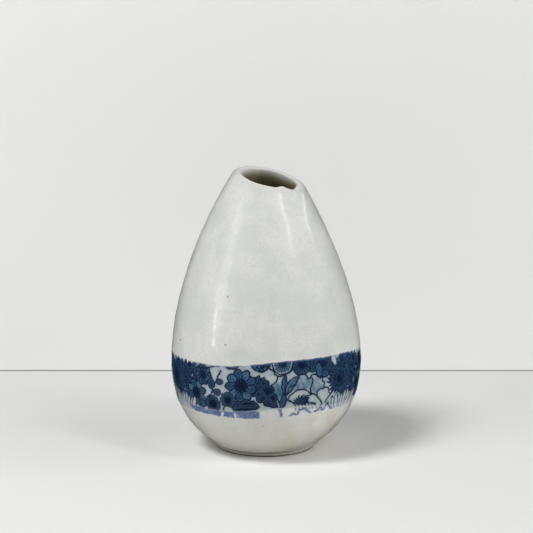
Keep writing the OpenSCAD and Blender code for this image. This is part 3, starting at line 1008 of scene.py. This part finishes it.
def clay_material():
    """Bare fired clay with fine turning lines and grit, pale like the glaze on the foot's side and darkest
    at its very bottom as a painted contact shadow.
    """
    material, tree = new_material("bare_clay")
    place = place_node(tree)
    grit = noise(tree, place, 2.4, 4, 0.7)
    patch = noise(tree, place, 0.22, 3, 0.6)
    lines = noise(tree, place, 1.0, 3, 0.6, (0.05, 0.05, 5.0))
    colour = blend(tree, remap(tree, patch, 0.35, 0.65), srgb(150, 142, 120), srgb(176, 168, 146))
    colour = blend(tree, remap(tree, grit, 0.5, 0.72, 0, 0.6), colour, srgb(112, 102, 82))
    colour = blend(tree, remap(tree, lines, 0.5, 0.7, 0, 0.35), colour, srgb(126, 116, 92))
    height = add_node(tree, "SeparateXYZ", {0: place}).outputs[2]
    foot_wash_and_shade_line = nudge(tree, height, patch, 0.8)
    # Pale like the glaze on the foot's side; dark olive brown at the foot's very bottom, which is a painted
    # contact shadow.
    colour = blend(tree, remap(tree, foot_wash_and_shade_line, 0.45, 0.8, 0, 0.85), colour, srgb(208, 206, 193))
    colour = blend(tree, remap(tree, foot_wash_and_shade_line, 0.6, 0.2, 0, 0.85), colour, srgb(66, 61, 49))
    tall = maths(tree, "MULTIPLY_ADD", lines, 0.8, grit)
    bump = add_node(tree, "Bump", {"Height": tall, "Strength": 0.7, "Distance": 0.00025})
    surface(tree, {
        "Base Color": colour, "Roughness": remap(tree, grit, 0.3, 0.7, 0.7, 0.92),
        "Normal": bump.outputs[0], "Specular IOR Level": 0.3})
    return material


def plain_material(name, colour, rough, high=None):
    """Matt paint, which may turn to another colour higher up."""
    material, tree = new_material(name)
    if high:
        height = add_node(tree, "SeparateXYZ", {0: place_node(tree)}).outputs[2]
        colour = blend(tree, remap(tree, height, 0, 160), colour, high)
    surface(tree, {"Base Color": colour, "Roughness": rough, "Specular IOR Level": 0.2})
    return material


# ---- Pieces ------------------------------------------------------
def finish_piece(piece, material, slot, *nodes):
    """Gives a piece its material, and puts it in the place of its CAD nodes."""
    piece.data.materials.append(material)
    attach(piece, "root")
    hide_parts(*nodes)


def side_at(column):
    """Side of a column, whole or in part: columns crowd together towards the pinch."""
    even = 2 * math.pi * np.asarray(column, float) / COLUMNS
    return even - CROWD * np.sin(even - PINCH_SIDE)


def seam_columns():
    """The column just before each seam."""
    sides = side_at(np.arange(COLUMNS))
    return [int(np.argmin(np.abs(turned(sides, seam)))) for seam in SEAMS]


def make_glazes(material, lining):
    """The glaze outside and inside, which meet along the crest of the lip."""
    side = side_at(np.arange(COLUMNS))
    outside, inside = outside_rows(side), inside_rows(side)
    section = np.concatenate((outside[:-1], inside))
    depth = np.concatenate((glaze_depth(outside[:-1], side, True), glaze_depth(inside, side, False)))
    bare = place(section, side)
    clay = bare - GLAZE * normals(bare, True)
    front = clay + depth[..., None] * normals(bare, True)
    facing = normals(front, True)
    crest = len(outside) - 1

    window = np.zeros(depth.shape, bool)
    for start, end in ring_pairs(seam_columns()):
        count = (end - start) % COLUMNS
        inner = (start + 2 + np.arange(count - 2)) % COLUMNS
        window[HEEL_ROWS + 1:HEEL_ROWS + BAND_ROWS, inner] = True
    recess = np.where(window, RECESS, 0)
    shown = front - recess[..., None] * facing
    height = front[..., 2]
    bottom = height[0]
    from_crest = np.arange(len(height)) - crest
    # Paler where the glaze thins at its lower edge, and a painted highlight along the lip's crest.
    thin_glaze_and_lip_highlight = np.maximum(hump(height, bottom, 0.5), hump(from_crest, 0, 3)[:, None])
    # Where the glaze lies deeper in its runs above 60 mm: milky glaze, and a painted highlight along the
    # runs.
    thick_glaze_and_run_highlight = np.clip((depth - GLAZE) / 0.3, 0, 1) * (height > 60)
    outer = slice(0, crest + 1)
    glaze = shell_piece("glaze_outside", shown[outer], facing[outer], (depth - recess)[outer],
                        fields={"thin_glaze_and_lip_highlight": thin_glaze_and_lip_highlight[outer], "thick_glaze_and_run_highlight": thick_glaze_and_run_highlight[outer]})
    finish_piece(glaze, material, "glaze", "outer_glaze")

    inner = slice(crest, None)
    rim_height = rim(side, CREST_R, CREST_H)[:, 1]
    # deep is 0 at the crest and 1 from 4.6 mm below it; the inside darkens with it as painted shade.
    deep = smooth(0.2, 4.6, rim_height - height[inner])
    lined = shell_piece("glaze_inside", front[inner], facing[inner], depth[inner], capped=True,
                        fields={"deep": deep})
    finish_piece(lined, lining, "glaze", "inner_glaze")
    return clay, side


def make_strips(material):
    """The three printed strips, each let into its own recess in the glaze."""
    names = ("transfer_strip_1", "transfer_strip_2", "transfer_strip_3")
    for name, (start, end) in zip(names, ring_pairs(seam_columns())):
        count = ((end - start) % COLUMNS - 1) * FINE
        columns = start + 1 + np.arange(-1, count + 2) / FINE
        side = side_at(columns)
        low, high = band_edges(side)
        rows = BAND_ROWS * FINE
        t = np.arange(-1, rows + 2) / rows
        section = wall_point(low + np.multiply.outer(t, high - low))
        points = place(section, side)
        facing = normals(points, False)
        points, facing = points[1:-1, 1:-1], facing[1:-1, 1:-1]
        height = section[1:-1, 1:-1, 1]
        fields = strip_fields(np.broadcast_to(side[1:-1], height.shape), height)
        depth = np.full(height.shape, 0.75 * RECESS)
        strip = shell_piece("print_" + name[-1], points, facing, depth, closed=False, fields=fields)
        finish_piece(strip, material, "printed_band", name)


def make_clay(clay, side, material):
    """The clay wall, closed under the glaze; only its bare line above the foot shows."""
    some = slice(None, None, FINE)
    side = side[some]
    bottom = np.array([(1, FOOT_H), (FOOT_R / 2, FOOT_H), (FOOT_R - 0.3, FOOT_H), (FOOT_R, FOOT_H + 0.05)])
    under = np.repeat(bottom[:, None], len(side), 1)
    heel = wall_point(0.2 + np.multiply.outer(steps(4), glaze_edge(side) - 0.2), GLAZE)
    base = np.concatenate((under, heel))
    points = np.concatenate((place(base, side), clay[some, some]))
    piece = lathe_piece("clay_wall", points)
    finish_piece(piece, material, "clay", "clay_body")


def make_foot(material, glaze):
    """The turned foot ring, a little uneven, and the dish of glaze inside it."""
    side = np.linspace(0, 2 * math.pi, 256, endpoint=False)
    corner, turns = 0.35, np.linspace(0, math.pi / 2, 5)
    width = FOOT_R - RECESS_R
    outer = [(FOOT_R - corner + corner * math.sin(a), corner - corner * math.cos(a)) for a in turns]
    inner = [(RECESS_R + corner - corner * math.cos(a), corner - corner * math.sin(a)) for a in turns]
    rising = [(FOOT_R, corner + (FOOT_H - corner) * t) for t in (0.25, 0.5, 0.75, 1)]
    falling = [(RECESS_R, FOOT_H - (FOOT_H - corner) * t) for t in (0, 0.25, 0.5, 0.75)]
    flat = [(RECESS_R + corner + (width - 2 * corner) * t, 0) for t in (0.25, 0.5, 0.75)]
    section = np.array(outer + rising + falling + inner + flat)
    reach, height = section[:, :1], section[:, 1:]
    worn = 0.07 * np.sin(3 * side + 1) + 0.05 * np.sin(8 * side) + 0.03 * np.sin(19 * side + 2)
    chip = 0.35 * hump(turned(side, 0.86), 0, 0.05)
    flare = 0.7 * smooth(0.3, FOOT_H, height)
    middle = (FOOT_R + RECESS_R) / 2
    reach = reach + np.where(reach > middle, worn + flare - chip * smooth(0.2, 0.7, height), 0.5 * worn)
    foot = lathe_piece("foot_turned", spun(reach, height, side), closed_section=True)
    finish_piece(foot, material, "bare_foot", "foot_ring")

    edge, roof = RECESS_R - 0.1, FOOT_H - 0.02
    dish = [(r, RECESS_Z + 0.12 * (1 - (r / RECESS_R) ** 2)) for r in (0.5, 4, 8, 12, 15, 17, edge)]
    dish = np.array(dish + [(edge, roof), (RECESS_R / 2, roof), (0.5, roof)])
    reach, height = dish[:, :1], dish[:, 1:]
    ripple = 0.02 * np.sin(reach * 3.1) * (height < FOOT_H - 0.1)
    points = spun(reach, height + ripple, side)
    finish_piece(lathe_piece("glaze_recess", points), glaze, "glaze", "base_glaze")


# ---- Camera, stage and light -------------------------------------
LENS = 116.5
CAMERA_AT = Vector((0.53, -744.7, 213.2))
CAMERA_AIM = Vector((0.53, 0, 80.1))
STAGE_REACH = 2500
WALL_BACK = 136
JOINT_HEIGHT = 0.8
WORLD_STRENGTH = 0.13
# Name, side and lift in degrees, distance and size in metres, power, whether the glaze mirrors it
LIGHTS = (
    ("key", -55, 57, 1.3, (0.35, 0.35), 9.7, False),
    ("fill_right", 58, 20, 1.6, (1.0, 0.7), 3.4, False),
    ("side_right", 96, 12, 1.5, (0.8, 0.6), 14.6, False),
    ("top", 0, 85, 1.5, (1.0, 1.0), 0.5, False),
    ("strip_left", -64, 26, 1.1, (0.3, 0.66), 1.2, True),
    ("strip_right", 54, 46, 1.1, (0.06, 0.42), 1.5, True),
    ("glint", -66, 5, 1.1, (0.06, 0.24), 0.42, True),
)


def make_camera():
    """A long lens that looks down on the bottle from above its mouth."""
    data = bpy.data.cameras.new("camera")
    data.lens = LENS
    data.sensor_width = 36
    data.clip_start = 0.01
    camera = bpy.data.objects.new("camera", data)
    bpy.context.scene.collection.objects.link(camera)
    camera.location = CAMERA_AT * MM
    camera.rotation_euler = (CAMERA_AIM - CAMERA_AT).to_track_quat("-Z", "Y").to_euler()
    bpy.context.scene.camera = camera


def make_plane(name, corners, material, seen=True, bounces=True):
    """A stage plane kept out of the glaze's reflections, which is seen, or bounces light, or both."""
    mesh = bpy.data.meshes.new(name)
    mesh.from_pydata([Vector(c) * MM for c in corners], [], [(0, 1, 2, 3)])
    mesh.materials.append(material)
    plane = bpy.data.objects.new(name, mesh)
    plane.visible_glossy = False
    plane.visible_camera = seen
    plane.visible_diffuse = bounces
    bpy.context.scene.collection.objects.link(plane)


def plane_corners(front, back, low, high):
    """Corners of a plane as wide as the stage, from its front and low edge to its back and high one."""
    wide = STAGE_REACH
    return (-wide, front, low), (wide, front, low), (wide, back, high), (-wide, back, high)


def make_stage():
    """A pale floor and wall that meet in a narrow dark joint, the wall a little darker higher up as painted
    shade; a dimmer wall behind gives the bounce.
    """
    far, back, joint = STAGE_REACH, WALL_BACK, JOINT_HEIGHT
    pale = plain_material("floor_paint", srgb(243, 243, 242), 0.7)
    # The wall turns a little darker towards 160 mm up: painted shade.
    wall = plain_material("wall_paint", srgb(249, 249, 247), 0.8, srgb(244, 244, 243))
    dark = plain_material("joint_shade", srgb(176, 176, 175), 0.9)
    dim = plain_material("bounce_paint", srgb(212, 212, 211), 0.9)
    make_plane("floor", plane_corners(-far, back, 0, 0), pale)
    make_plane("joint", plane_corners(back, back, 0, joint), dark)
    make_plane("wall", plane_corners(back, back, joint, far), wall, bounces=False)
    make_plane("wall_bounce", plane_corners(back + 1, back + 1, 0, far), dim, seen=False)


def make_light(name, side_degrees, lift_degrees, distance, size, power, mirrored):
    """A soft box that faces the middle of the bottle from one side."""
    data = bpy.data.lights.new(name, "AREA")
    data.shape = "RECTANGLE"
    data.size, data.size_y = size
    data.energy = power
    light = bpy.data.objects.new(name, data)
    light.visible_glossy = mirrored
    bpy.context.scene.collection.objects.link(light)
    side, lift = math.radians(side_degrees), math.radians(lift_degrees)
    middle = Vector((0, 0, HEIGHT / 2 * MM))
    out = Vector((math.sin(side) * math.cos(lift), -math.cos(side) * math.cos(lift), math.sin(lift)))
    light.location = middle + out * distance
    light.rotation_euler = (-out).to_track_quat("-Z", "Y").to_euler()


def make_lights():
    """The soft boxes, and an even white world that the glaze does not mirror."""
    for light in LIGHTS:
        make_light(*light)
    world = bpy.data.worlds.new("studio")
    bpy.context.scene.world = world
    world.use_nodes = True
    sky = world.node_tree.nodes["Background"]
    sky.inputs["Color"].default_value = srgb(255, 255, 255)
    sky.inputs["Strength"].default_value = WORLD_STRENGTH
    world.cycles_visibility.glossy = False


def main():
    """The camera and stage, then every piece of the bottle, and the light."""
    make_camera()
    make_stage()
    bare, pale = clay_material(), glaze_material()
    clay, side = make_glazes(pale, inside_material())
    make_strips(print_material())
    make_clay(clay, side, bare)
    make_foot(bare, pale)
    make_lights()
    bpy.context.scene.view_settings.view_transform = "Standard"


main()
